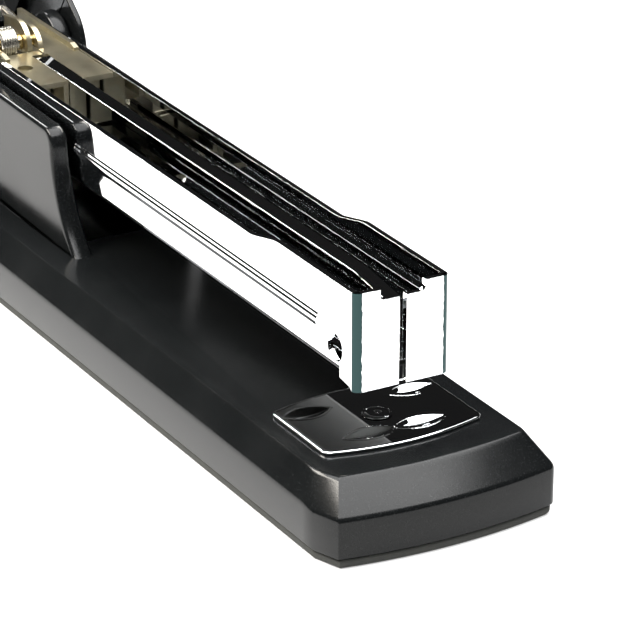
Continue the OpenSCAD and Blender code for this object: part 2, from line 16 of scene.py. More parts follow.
import bmesh
import bpy
import numpy as np
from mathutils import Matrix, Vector

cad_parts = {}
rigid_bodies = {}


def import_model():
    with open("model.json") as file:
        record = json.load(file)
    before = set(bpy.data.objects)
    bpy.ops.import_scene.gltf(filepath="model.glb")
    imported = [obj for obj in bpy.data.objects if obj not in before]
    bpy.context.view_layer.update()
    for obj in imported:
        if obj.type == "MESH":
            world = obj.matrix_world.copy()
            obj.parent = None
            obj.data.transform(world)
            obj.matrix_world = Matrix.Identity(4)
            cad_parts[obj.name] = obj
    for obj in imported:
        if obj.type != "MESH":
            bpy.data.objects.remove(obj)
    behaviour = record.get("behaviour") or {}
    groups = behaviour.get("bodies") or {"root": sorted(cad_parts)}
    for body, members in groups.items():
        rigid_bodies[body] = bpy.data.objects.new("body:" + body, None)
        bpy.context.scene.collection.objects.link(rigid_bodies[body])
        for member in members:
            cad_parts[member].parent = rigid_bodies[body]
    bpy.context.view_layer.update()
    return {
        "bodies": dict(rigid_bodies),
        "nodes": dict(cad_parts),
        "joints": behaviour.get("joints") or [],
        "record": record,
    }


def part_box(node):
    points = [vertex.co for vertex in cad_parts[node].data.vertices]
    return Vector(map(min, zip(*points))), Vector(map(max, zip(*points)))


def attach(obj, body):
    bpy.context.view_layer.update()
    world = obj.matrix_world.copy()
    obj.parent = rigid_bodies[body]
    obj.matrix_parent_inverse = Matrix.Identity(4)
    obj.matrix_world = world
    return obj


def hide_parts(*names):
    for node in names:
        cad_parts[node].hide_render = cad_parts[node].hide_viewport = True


MM = 0.001
LOG = logging.getLogger("stapler")
Array = np.ndarray


class Body(Enum):
    """Bodies of the frame that a piece can ride on."""

    BASE = "base"
    LIFTER = "anvil_lifter"
    ANVIL = "anvil"
    MAGAZINE = "magazine"
    PUSHER = "pusher"
    COVER = "cover"


class Slot(Enum):
    """Material slots of the record."""

    PLASTIC = "black_plastic"
    RUBBER = "sole_rubber"
    ZINC = "zinc_plate"
    STEEL = "bright_steel"
    SPRING = "spring_steel"
    CHROME = "chrome_sheet"
    YELLOW = "yellow_zinc"
    BRASS = "brass"


# ---------------------------------------------------------------- shader network


@dataclass
class Sock:
    """An output socket that can be used in Python sums, each of which adds a Math node."""

    net: "Net"
    out: bpy.types.NodeSocket

    def _math(self, operation: str, first: object, second: object) -> "Sock":
        """One Math node of the two values."""
        return self.net.add("ShaderNodeMath", {0: first, 1: second}, {"operation": operation})

    def __add__(self, other: object) -> "Sock":
        """Sum."""
        return self._math("ADD", self, other)

    __radd__ = __add__

    def __mul__(self, other: object) -> "Sock":
        """Product."""
        return self._math("MULTIPLY", self, other)

    __rmul__ = __mul__

    def __sub__(self, other: object) -> "Sock":
        """Difference."""
        return self._math("SUBTRACT", self, other)

    def __rsub__(self, other: object) -> "Sock":
        """Difference with the socket taken away."""
        return self._math("SUBTRACT", other, self)

    def between(self, low: float, high: float, start: float = 0.0, end: float = 1.0) -> "Sock":
        """The value carried from low..high to start..end, held at both ends."""
        return self.net.add(
            "ShaderNodeMapRange",
            {"Value": self, "From Min": low, "From Max": high, "To Min": start, "To Max": end},
        )

    def tint(self, dark: Sequence[float], light: object) -> "Sock":
        """The colour `dark` where the value is 0 and `light` where it is 1."""
        return self.net.add(
            "ShaderNodeMix",
            {"Factor": self, 6: dark, 7: light},
            {"data_type": "RGBA"},
            out=2,
        )


class Net:
    """Node network of one material."""

    def __init__(self, name: str) -> None:
        """Starts an empty material called `name`."""
        self.material = bpy.data.materials.new(name)
        self.material.use_nodes = True
        self.tree = self.material.node_tree
        self.tree.nodes.clear()
        self.place = self.add("ShaderNodeTexCoord", {}, out=3)

    def add(self, kind: str, inputs: dict, settings: dict | None = None, out: int = 0) -> Sock:
        """Adds a node.

        Args:
            kind: the node's type.
            inputs: value or link of each input, by name or number.
            settings: attributes set before the inputs.
            out: number of the output that is returned.

        Returns:
            The chosen output.
        """
        node = self.tree.nodes.new(kind)
        for key, value in (settings or {}).items():
            setattr(node, key, value)
        for key, value in inputs.items():
            target = node.inputs[key]
            if isinstance(value, Sock):
                self.tree.links.new(value.out, target)
            elif isinstance(value, (tuple, list)) and len(value) == 3 and target.type == "RGBA":
                target.default_value = (*value, 1.0)
            else:
                target.default_value = value
        return Sock(self, node.outputs[out])

    def noise(self, grain: float, detail: float = 2.0, stretch: Sequence[float] = (1, 1, 1)) -> Sock:
        """Noise whose blotches are about `grain` millimetres across, drawn out by `stretch`."""
        scale = tuple(1.0 / (grain * MM * s) for s in stretch)
        where = self.add("ShaderNodeMapping", {"Vector": self.place, "Scale": scale})
        return self.add("ShaderNodeTexNoise", {"Vector": where, "Scale": 1.0, "Detail": detail})

    def bump(self, height: Sock, depth: float, strength: float = 1.0) -> Sock:
        """Bump of `height` times `depth` millimetres."""
        return self.add("ShaderNodeBump", {"Height": height, "Distance": depth * MM, "Strength": strength})

    def finish(self, fixed: dict, **varying: object) -> bpy.types.Material:
        """Closes the network with a Principled shader.

        Args:
            fixed: numbers set on the shader's own sockets.
            varying: sockets by name with `_` for a blank.

        Returns:
            The material.
        """
        inputs = dict(fixed)
        inputs.update({key.replace("_", " "): value for key, value in varying.items()})
        shader = self.add("ShaderNodeBsdfPrincipled", inputs)
        self.add_output(shader)
        return self.material

    def add_output(self, shader: Sock) -> None:
        """Links the shader to the material's surface."""
        node = self.tree.nodes.new("ShaderNodeOutputMaterial")
        self.tree.links.new(shader.out, node.inputs["Surface"])


# ---------------------------------------------------------------- finishes


@dataclass(frozen=True)
class MouldedPlastic:
    """Black moulded plastic with a fine spark grain."""

    dark: tuple = (0.0028, 0.0032, 0.0034)
    light: tuple = (0.024, 0.026, 0.026)
    grain: float = 0.20
    rough: float = 0.18

    def build(self, name: str) -> bpy.types.Material:
        """Spark grain as bump, glints where the grain peaks (glossier there, and painted lighter as painted
        glints) and slow patches of gloss.
        """
        net = Net(name)
        spark = net.noise(self.grain, 3.0)
        fine = net.noise(self.grain * 0.4, 2.0)
        patch = net.noise(9.0, 3.0)
        peak = spark.between(0.56, 0.74)
        gloss = patch.between(0.3, 0.7, self.rough - 0.02, self.rough + 0.05) - peak * 0.05
        relief = net.bump(spark * 0.7 + fine * 0.3, 0.030, 0.28)
        return net.finish(
            {"Specular IOR Level": 0.20},
            # The grain peaks are painted lighter in the colour: painted glints.
            Base_Color=(peak * 0.45 + patch * 0.05).tint(self.dark, self.light),
            Roughness=gloss,
            Normal=relief,
        )


@dataclass(frozen=True)
class Rubber:
    """Matt dark rubber with a dusty bloom."""

    dark: tuple = (0.020, 0.021, 0.0185)
    light: tuple = (0.042, 0.043, 0.038)

    def build(self, name: str) -> bpy.types.Material:
        """Fine pitting with paler dust in broad patches."""
        net = Net(name)
        pits = net.noise(0.3, 4.0)
        bloom = net.noise(6.0, 4.0).between(0.35, 0.7)
        return net.finish(
            {"Specular IOR Level": 0.35},
            Base_Color=(bloom * 0.7 + pits * 0.2).tint(self.dark, self.light),
            Roughness=bloom.between(0.0, 1.0, 0.62, 0.78),
            Normal=net.bump(pits, 0.03, 0.6),
        )


@dataclass(frozen=True)
class ChromeSheet:
    """Mirror-plated rolled sheet, with painted shade on the underside of the channel and a painted dark
    reflection along its front bends.
    """

    tint: tuple = (0.80, 0.815, 0.825)
    haze: tuple = (0.66, 0.675, 0.685)
    # bend, bend_x and bend_y: colour and start of a painted dark reflection along the sheet's bend round the
    # front corners
    painted_bend_reflection: tuple = (0.010, 0.032, 0.032)
    bend_x: float = 68.0
    bend_y: float = 6.25
    # dull: near-black colour of painted shade on the channel's underside; under_y, under_x and under_z bound it
    underside_shade: tuple = (0.05, 0.05, 0.048)
    under_y: float = 7.12
    under_x: float = 68.3
    under_z: tuple = (15.0, 21.05)
    rough: float = 0.015

    def build(self, name: str) -> bpy.types.Material:
        """Slow waves of the rolled sheet, faint hairlines, a little haze, painted shade (near black) on the
        channel's underside, and a painted dark reflection as a band where the sheet is bent round the two front
        corners."""
        net = Net(name)
        wave = net.noise(16.0, 1.0, (2.5, 1, 1))
        hair = net.noise(0.12, 3.0, (120, 1, 1))
        film = net.noise(9.0, 5.0).between(0.45, 0.8)
        line = hair.between(0.66, 0.8)
        mottle = net.noise(0.8, 4.0).between(0.35, 0.75)
        axes = net.add("ShaderNodeSeparateXYZ", {"Vector": net.place})
        across = Sock(net, axes.out.node.outputs[1])
        ahead = axes.between(self.bend_x * MM, (self.bend_x + 0.12) * MM)
        aside = net.add("ShaderNodeMath", {0: across}, {"operation": "ABSOLUTE"})
        ragged = aside + mottle * 0.00018
        height = Sock(net, axes.out.node.outputs[2])
        low, high = (z * MM for z in self.under_z)
        above_base = height.between(low, low + 0.1 * MM)
        # Painted reflection: mask of a dark band along the bend round the two front corners.
        bend_reflection_mask = ahead * above_base * ragged.between(self.bend_y * MM, (self.bend_y + 0.08) * MM)
        between_walls = 1 - aside.between(self.under_y * MM, (self.under_y + 0.1) * MM)
        behind_front = 1 - axes.between(self.under_x * MM, (self.under_x + 0.1) * MM)
        beneath = above_base * (1 - height.between(high, high + 0.15 * MM))
        # Painted shade: the underside between the walls, above the base, is coloured near black (and made
        # rougher).
        under = between_walls * behind_front * beneath
        bright = (film * 0.5 + line * 0.06 + mottle * 0.12).tint(self.tint, self.haze)
        # Chrome colour with the painted shade laid on its underside.
        chrome_with_painted_shade = (1 - under).tint(self.underside_shade, bright)
        return net.finish(
            {"Metallic": 1.0},
            # The dark band along the bend is a painted reflection laid over the chrome.
            Base_Color=(1 - bend_reflection_mask * 0.98).tint(self.painted_bend_reflection, chrome_with_painted_shade),
            Roughness=film * 0.02 + line * 0.01 + under * 0.3 + self.rough,
            Normal=net.bump(wave, 0.10, 0.16),
        )


@dataclass(frozen=True)
class YellowZinc:
    """Yellow-passivated zinc: olive gold with brown and straw clouds."""

    olive: tuple = (0.36, 0.335, 0.24)
    straw: tuple = (0.56, 0.50, 0.36)
    brown: tuple = (0.30, 0.225, 0.125)

    def build(self, name: str) -> bpy.types.Material:
        """Straw clouds over olive, brown stains in the hollows of a second noise, and a fine etch."""
        net = Net(name)
        cloud = net.noise(7.0, 3.0).between(0.25, 0.8)
        stain = net.noise(4.5, 3.0).between(0.52, 0.80)
        etch = net.noise(0.10, 4.0)
        clouded = cloud.tint(self.olive, self.straw)
        return net.finish(
            {"Metallic": 1.0},
            Base_Color=(1 - stain * 0.6).tint(self.brown, clouded),
            Roughness=cloud * 0.05 + etch * 0.06 + 0.27,
            Normal=net.bump(etch, 0.012, 0.4),
        )


@dataclass(frozen=True)
class DrawnMetal:
    """Plated, drawn or stamped steel with lines along one direction."""

    tint: tuple
    shade: tuple
    rough: float = 0.20
    stretch: tuple = (40, 1, 1)
    line: float = 0.12

    def build(self, name: str) -> bpy.types.Material:
        """Lines along the drawing direction with soft clouds of plating."""
        net = Net(name)
        lines = net.noise(self.line, 4.0, self.stretch)
        cloud = net.noise(4.0, 4.0).between(0.3, 0.75)
        return net.finish(
            {"Metallic": 1.0},
            Base_Color=(cloud * 0.6 + lines * 0.4).tint(self.tint, self.shade),
            Roughness=lines * 0.14 + cloud * 0.08 + self.rough,
            Normal=net.bump(lines, 0.012, 0.5),
        )


@dataclass(frozen=True)
class StudioPaper:
    """Pale floor of the studio, a little lit from below."""

    tint: tuple = (0.45, 0.45, 0.45)
    glow: float = 0.45

    def build(self, name: str) -> bpy.types.Material:
        """Very faint paper tooth."""
        net = Net(name)
        tooth = net.noise(1.5, 3.0)
        light = tuple(min(1.0, c * 1.02) for c in self.tint)
        fixed = {"Roughness": 0.9, "Specular IOR Level": 0.2, "Emission Color": (1.0, 1.0, 1.0),
                 "Emission Strength": self.glow}
        return net.finish(fixed, Base_Color=tooth.tint(self.tint, light))


FINISHES: dict[Slot, object] = {
    Slot.PLASTIC: MouldedPlastic(),
    Slot.RUBBER: Rubber(),
    Slot.ZINC: DrawnMetal((0.56, 0.57, 0.58), (0.36, 0.37, 0.38), 0.30),
    Slot.STEEL: DrawnMetal((0.72, 0.72, 0.73), (0.50, 0.50, 0.51), 0.16, (1, 40, 1)),
    Slot.SPRING: DrawnMetal((0.66, 0.64, 0.58), (0.42, 0.40, 0.35), 0.14, (1, 1, 1), 0.3),
    Slot.CHROME: ChromeSheet(),
    Slot.YELLOW: YellowZinc(),
    Slot.BRASS: DrawnMetal((0.80, 0.66, 0.38), (0.52, 0.40, 0.19), 0.12, (40, 1, 40), 0.25),
}


# ---------------------------------------------------------------- shapes worked out as arrays


def grid_faces(rows: int, columns: int, around: bool) -> list:
    """Quads of a grid of points numbered row by row; `around` joins the last column to the first."""
    last = columns if around else columns - 1
    row, column = np.meshgrid(np.arange(rows - 1), np.arange(last), indexing="ij")
    nxt = (column + 1) % columns
    quads = np.stack([row * columns + column, row * columns + nxt, (row + 1) * columns + nxt,
                      (row + 1) * columns + column], -1)
    return quads.reshape(-1, 4).tolist()


def loft(rings: Array, caps: bool = True, closed: bool = False) -> tuple[Array, list]:
    """Skin over a stack of closed rings.

    Args:
        rings: points, as rings by points by 3.
        caps: whether the first and last rings are filled with one flat face each.
        closed: whether the last ring is also joined to the first.

    Returns:
        Points and faces.
    """
    count, around = rings.shape[:2]
    faces = grid_faces(count, around, True)
    if closed:
        first, last = np.arange(around), np.arange(around) + (count - 1) * around
        faces += np.stack([last, np.roll(last, -1), np.roll(first, -1), first], -1).tolist()
    elif caps:
        faces += [list(range(around))[::-1], list(range((count - 1) * around, count * around))]
    return rings.reshape(-1, 3), faces


def joined(parts: Iterable[tuple[Array, list]]) -> tuple[Array, list]:
    """Several point and face sets as one."""
    points, faces, start = [], [], 0
    for verts, polys in parts:
        points.append(verts)
        faces += [[i + start for i in poly] for poly in polys]
        start += len(verts)
    return np.concatenate(points), faces


def arc(cx: float, cz: float, r: float, a: float, b: float, n: int = 12) -> Array:
    """Points of a circle's arc from angle a to angle b, in degrees."""
    t = np.radians(np.linspace(a, b, n))
    return np.stack([cx + r * np.cos(t), cz + r * np.sin(t)], -1)


def spaced(points: Array, step: float) -> Array:
    """A closed outline with extra points so that no side is longer than `step`."""
    ends = np.roll(points, -1, 0)
    runs = [np.linspace(p, q, max(1, int(math.ceil(np.linalg.norm(q - p) / step))), endpoint=False)
            for p, q in zip(points, ends)]
    return np.concatenate(runs)


def inset(points: Array, margin: float) -> Array:
    """A closed counter-clockwise outline moved inwards by `margin`, each corner along its bisector."""
    before = points - np.roll(points, 1, 0)
    after = np.roll(points, -1, 0) - points
    before /= np.linalg.norm(before, axis=1, keepdims=True) + 1e-12
    after /= np.linalg.norm(after, axis=1, keepdims=True) + 1e-12
    normal_before = np.stack([-before[:, 1], before[:, 0]], -1)
    normal_after = np.stack([-after[:, 1], after[:, 0]], -1)
    bisector = normal_before + normal_after
    scale = (bisector * normal_after).sum(1, keepdims=True)
    return points + bisector * (margin / np.maximum(scale, 0.35))


def eased_levels(low: float, high: float, r: float, steps: int = 4) -> list[tuple[float, float]]:
    """Levels of a slab with rounded rims, as pairs of height and inset: a quarter circle at each rim."""
    t = np.linspace(0, math.pi / 2, steps + 1)
    rim = [(r * (1 - math.cos(a)), r * (1 - math.sin(a))) for a in t]
    levels = [(low + h, m) for h, m in rim] + [(high - h, m) for h, m in reversed(rim)]
    return [(low, r * 1.35)] + levels + [(high, r * 1.35)]


def slab(outline: Array, low: float, high: float, r: float) -> Array:
    """Rings of a slab with rounded rims; the outline lies in the first two axes, the height in the third."""
    levels = eased_levels(low, high, r)
    return np.stack([np.column_stack([inset(outline, m), np.full(len(outline), h)]) for h, m in levels])


def turned(profile: Array, sides: int = 48) -> tuple[Array, list]:
    """A profile of radius and height turned about the third axis, closed at both ends on the axis."""
    t = np.linspace(0, 2 * math.pi, sides, endpoint=False)
    r, h = profile[:, 0][:, None], profile[:, 1][:, None]
    rings = np.stack([r * np.cos(t), r * np.sin(t), h + 0 * t], -1)
    return loft(rings)


def tube(path: Array, radius: float, sides: int = 10) -> tuple[Array, list]:
    """A round wire along a path: at each point a circle square to the path's direction, with the circle's
    start carried along by projection, so that it does not twist."""
    tangent = np.gradient(path, axis=0)
    tangent /= np.linalg.norm(tangent, axis=1, keepdims=True)
    fixed = np.array([0.0, 1.0, 0.0]) if abs(tangent[:, 1]).max() < 0.9 else np.array([0.0, 0.0, 1.0])
    side = np.cross(tangent, fixed)
    side /= np.linalg.norm(side, axis=1, keepdims=True)
    up = np.cross(side, tangent)
    t = np.linspace(0, 2 * math.pi, sides, endpoint=False)[None, :, None]
    rings = path[:, None] + radius * (np.cos(t) * side[:, None] + np.sin(t) * up[:, None])
    return loft(rings)


def coil(along: Array, radius: float, wire: float, turns: float, sides: int = 8) -> tuple[Array, list]:
    """A wire wound round a path: the path's own side and up directions turn through `turns` circles."""
    tangent = np.gradient(along, axis=0)
    tangent /= np.linalg.norm(tangent, axis=1, keepdims=True)
    side = np.cross(tangent, np.array([0.0, 1.0, 0.0]))
    side /= np.linalg.norm(side, axis=1, keepdims=True)
    up = np.cross(side, tangent)
    t = np.linspace(0, 2 * math.pi * turns, len(along))[:, None]
    return tube(along + radius * (np.cos(t) * side + np.sin(t) * up), wire, sides)


def resampled(path: Array, count: int) -> Array:
    """`count` points at even steps along a path."""
    reach = np.concatenate([[0], np.cumsum(np.linalg.norm(np.diff(path, axis=0), axis=1))])
    want = np.linspace(0, reach[-1], count)
    return np.stack([np.interp(want, reach, path[:, k]) for k in range(path.shape[1])], -1)


# ---------------------------------------------------------------- workshop


@dataclass
class Shop:
    """Turns arrays and frame nodes into finished pieces."""

    frame: dict
    paints: dict = field(default_factory=dict)

    def paint(self, slot: Slot) -> bpy.types.Material:
        """The material of a slot, made once."""
        if slot not in self.paints:
            self.paints[slot] = FINISHES[slot].build("finish_" + slot.value)
        return self.paints[slot]

    def dress_nodes(self) -> None:
        """Gives every frame node the finish of its slot."""
        for part in self.frame["record"]["subparts"]:
            node = self.frame["nodes"][part["node"]]
            node.data.materials.clear()
            node.data.materials.append(self.paint(Slot(part["material_slot"])))

    def settle(self, piece: bpy.types.Object, body: Body, slot: Slot, nodes: Sequence[str]) -> bpy.types.Object:
        """Paints a piece, lets it ride, and hides the nodes it stands for."""
        piece.data.materials.clear()
        piece.data.materials.append(self.paint(slot))
        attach(piece, body.value)
        if nodes:
            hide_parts(*nodes)
        LOG.info("%s: %d faces on %s", piece.name, len(piece.data.polygons), body.value)
        return piece

    def make(self, name: str, shape: tuple[Array, list], body: Body, slot: Slot, nodes: Sequence[str] = (),
             smooth: float = 35.0) -> bpy.types.Object:
        """Makes a piece.

        Args:
            name: name of the piece.
            shape: points in millimetres and faces.
            body: body it rides on.
            slot: its material slot.
            nodes: frame nodes that it replaces.
            smooth: edges sharper than this angle in degrees stay sharp.

        Returns:
            The object.
        """
        points, faces = shape
        mesh = bpy.data.meshes.new(name)
        mesh.from_pydata((np.asarray(points, float) * MM).tolist(), [], faces)
        work = bmesh.new()
        work.from_mesh(mesh)
        bmesh.ops.remove_doubles(work, verts=work.verts, dist=1e-7)
        bmesh.ops.recalc_face_normals(work, faces=work.faces)
        work.to_mesh(mesh)
        work.free()
        self.shade(mesh, smooth)
        piece = bpy.data.objects.new(name, mesh)
        bpy.context.scene.collection.objects.link(piece)
        return self.settle(piece, body, slot, nodes)

    @staticmethod
    def shade(mesh: bpy.types.Mesh, angle: float) -> None:
        """Smooth faces with sharp edges above an angle."""
        mesh.polygons.foreach_set("use_smooth", np.ones(len(mesh.polygons), bool))
        mesh.set_sharp_from_angle(angle=math.radians(angle))
        mesh.update()

    def eased(self, node: str, body: Body, slot: Slot, ease: float, steps: int = 2) -> bpy.types.Object:
        """A merged copy of a frame node with rounded edges, which stands for the node.

        The normals are weighted by area, so that wide faces stay flat beside the rounding.

        Args:
            node: the frame node.
            body: body it rides on.
            slot: its material slot.
            ease: radius of the rounding, in millimetres.
            steps: segments of the rounding.

        Returns:
            The object.
        """
        mesh = self.frame["nodes"][node].data.copy()
        work = bmesh.new()
        work.from_mesh(mesh)
        bmesh.ops.remove_doubles(work, verts=work.verts, dist=2e-6)
        bmesh.ops.dissolve_limit(work, angle_limit=math.radians(0.6), verts=work.verts, edges=work.edges)
        work.to_mesh(mesh)
        work.free()
        self.shade(mesh, 30.0)
        piece = bpy.data.objects.new(node + "_eased", mesh)
        bpy.context.scene.collection.objects.link(piece)
        bevel = piece.modifiers.new("ease", "BEVEL")
        bevel.width = ease * MM
        bevel.segments = steps
        bevel.limit_method = "ANGLE"
        bevel.angle_limit = math.radians(30)
        bevel.miter_outer = "MITER_ARC"
        level = piece.modifiers.new("level", "WEIGHTED_NORMAL")
        level.keep_sharp = True
        level.weight = 100
        return self.settle(piece, body, slot, [node])


# ---------------------------------------------------------------- sub-assemblies


@dataclass
class Plan:
    """Main dimensions of the stapler, taken from the frame's boxes."""

    base_l: float = 160.0
    base_w: float = 35.4
    end_bow: float = 2.0
    sole_t: float = 1.5
    slope_z: float = 7.1
    top_z: float = 11.2
    end_run: float = 4.6
    side_run: float = 2.4
    shell_t: float = 2.2
    hinge_x: float = -58.0
    hinge_z: float = 27.0

    @classmethod
    def measured(cls) -> "Plan":
        """The plan with its base and hinge taken from the frame."""
        low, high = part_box("base_shell")
        _, sole_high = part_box("sole_pad")
        pin_low, pin_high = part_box("hinge_pin")
        middle = (pin_low + pin_high) / 2 / MM
        width = (high.y - low.y) / MM
        length = (high.x - low.x) / MM - 2 * cls.end_bow
        return cls(base_l=length, base_w=width, sole_t=sole_high.z / MM, hinge_x=middle.x, hinge_z=middle.z)

    def outline(self, half: float, cut: float, corner: float, ends: int = 26, sides: int = 60) -> Array:
        """Plan outline of the base: straight sides, bowed ends and rounded corners.

        Each end is an arc of one large circle whose radius is shortened by `cut`; near a corner the
        outline follows a circle of radius `corner` that touches the end and the side.
        """
        half_w = self.base_w / 2
        bow = (half_w**2 + self.end_bow**2) / (2 * self.end_bow)
        centre = self.base_l / 2 + self.end_bow - bow
        r = bow - cut
        y = np.linspace(-(half - corner), half - corner, ends)
        end = np.stack([centre + np.sqrt(r**2 - y**2), y], -1)
        x0 = end[-1, 0] - corner * 1.02
        turn = arc(x0, half - corner, corner, 5, 85, 9)
        side = np.stack([np.linspace(x0, -x0, sides), np.full(sides, half)], -1)
        right = np.concatenate([end, turn, side[:-1]])
        back = -right[: ends + 9]
        far_side = -side[:-1]
        return np.concatenate([right, back, far_side])


@dataclass
class BaseBody:
    """The moulded base with its cheeks, its rubber sole and its hidden fittings."""

    plan: Plan
    corner: float = 1.5
    rim: float = 0.42
    cheek_in: float = 8.0
    cheek_out: float = 11.2
    cheek_lean: float = 0.4
    cheek_front: float = 42.5
    cheek_top: float = 2.0
    boss_r: float = 5.2
    scoop_r: float = 23.4
    well_half: float = 7.0
    well_rear: float = -10.0
    well_front: float = 44.0

    def ring(self, side: float, end: float, z: float) -> Array:
        """Outline moved in by `side` and `end`, at height z."""
        p = self.plan
        flat = p.outline(p.base_w / 2 - side, end, self.corner)
        return np.column_stack([flat, np.full(len(flat), z)])

    def well_ring(self, margin: float, z: float, like: Array) -> Array:
        """Rectangle of the well with as many points as the outline, point for point in the same order."""
        p = self.plan
        rear, front = p.hinge_x + self.well_rear + margin, p.hinge_x + self.well_front - margin
        half = self.well_half - margin
        middle, reach = (rear + front) / 2, (front - rear) / 2
        x = np.clip(like[:, 0] / np.abs(like[:, 0]).max() * 1.06, -1, 1) * reach + middle
        y = np.clip(like[:, 1] / np.abs(like[:, 1]).max() * 1.06, -1, 1) * half
        return np.column_stack([x, y, np.full(len(like), z)])

    def shell(self) -> tuple[Array, list]:
        """Closed skin of the base: underside rim, upright side, slope, top, well and inner wall.

        Each ring is the plan outline at one height and inset; rounded edges are quarter circles of
        three steps, and past the top the rings change to the well's rectangle and return inside.
        """
        p, r = self.plan, self.rim
        slope = np.array([p.side_run, p.end_run])
        height = p.top_z - p.slope_z
        rings = [self.ring(p.shell_t, p.shell_t, p.sole_t)]
        for t in np.radians([0, 30, 60, 90]):
            m = 0.3 * (1 - math.sin(t))
            rings.append(self.ring(m, m, p.sole_t + 0.3 * (1 - math.cos(t))))
        corners = [
            (np.zeros(2), p.slope_z - r), (slope * 0.01, p.slope_z - r * 0.4),
            (slope * r * 0.28 / height, p.slope_z + r * 0.15), (slope * r / height, p.slope_z + r),
            (slope * (1 - r / height), p.top_z - r), (slope * (1 - 0.25 * r / height), p.top_z - 0.32 * r),
            (slope * (1 + 0.25 * r / height), p.top_z - 0.05 * r), (slope * (1 + r / height), p.top_z),
        ]
        rings += [self.ring(m[0], m[1], z) for m, z in corners]
        like = rings[-1]
        rings += [self.well_ring(-0.35, p.top_z, like), self.well_ring(-0.1, p.top_z - 0.1, like),
                  self.well_ring(0, p.top_z - 0.35, like), self.well_ring(0, p.top_z - p.shell_t, like)]
        rings += [self.ring(p.shell_t + 0.3, p.shell_t + 2.5, p.top_z - p.shell_t)]
        return loft(np.stack(rings), closed=True)

    def cheek_outline(self) -> Array:
        """Side outline of a cheek: a foot that sweeps forward on a circle, a rounded top front corner, a
        level top, and a boss round the pin."""
        foot = self.plan.top_z - self.plan.hinge_z - 0.6
        z = np.linspace(foot, -0.6, 26)
        cx = self.cheek_front + self.scoop_r
        sweep = np.stack([cx - np.sqrt(self.scoop_r**2 - (z - 1.6) ** 2), z], -1)
        nose = arc(self.cheek_front - 2.5, self.cheek_top - 2.5, 2.5, 8, 90, 10)
        start = math.degrees(math.asin(self.cheek_top / self.boss_r))
        boss = arc(0, 0, self.boss_r, start + 4, 180, 26)
        rear = np.array([[-self.boss_r - 1.2, foot]])
        return spaced(np.concatenate([sweep, nose, boss, rear]), 2.5)

    def cheek(self, side: int) -> tuple[Array, list]:
        """A cheek on one side: slab across Y whose outer face leans inwards with height."""
        p = self.plan
        rings = slab(self.cheek_outline(), self.cheek_in, self.cheek_out, 0.75)
        x, z, y = rings[..., 0], rings[..., 1], rings[..., 2]
        depth = (y - self.cheek_in) / (self.cheek_out - self.cheek_in)
        lean = self.cheek_lean * (z + p.hinge_z - p.top_z) / 22 * depth
        return loft(np.stack([x + p.hinge_x, side * (y - lean), z + p.hinge_z], -1))

    def ledge(self) -> tuple[Array, list]:
        """Stop for the open cover: a rounded block behind the cheeks."""
        p = self.plan
        x0, x1 = p.hinge_x - 13.5, p.hinge_x - 9.3
        box = np.array([[x0, p.top_z - 1], [x1, p.top_z - 1], [x1, p.hinge_z - 9.3], [x0, p.hinge_z - 9.3]])
        rings = slab(spaced(box, 1.2), -self.cheek_in - 1, self.cheek_in + 1, 0.6)
        return loft(rings[..., [0, 2, 1]])

    def sole(self) -> Array:
        """Rubber sole: slab of the plan outline, rounded more at the desk."""
        p = self.plan
        levels = [(0.0, 0.75), (0.12, 0.55), (0.35, 0.38), (0.7, 0.32), (1.15, 0.32), (1.32, 0.42), (1.32, 1.2)]
        rings = [self.ring(m, m, z * p.sole_t / 1.5) for z, m in levels]
        return np.stack(rings)

    def build(self, shop: Shop) -> None:
        """Makes the base and its sole."""
        parts = [self.shell(), self.cheek(1), self.cheek(-1), self.ledge()]
        shop.make("base_moulding", joined(parts), Body.BASE, Slot.PLASTIC, ["base_shell"], 28)
        shop.make("rubber_sole", loft(self.sole()), Body.BASE, Slot.RUBBER, ["sole_pad"])
        for node, slot, ease in (
            ("hinge_pin", Slot.STEEL, 0.3), ("pin_clip", Slot.SPRING, 0.12), ("hinge_washers", Slot.STEEL, 0.1),
            ("lift_spring", Slot.SPRING, 0.12), ("lift_spring_rivets", Slot.STEEL, 0.3),
            ("base_plate", Slot.ZINC, 0.25), ("plate_screws", Slot.STEEL, 0.25),
        ):
            shop.eased(node, Body.BASE, slot, ease)


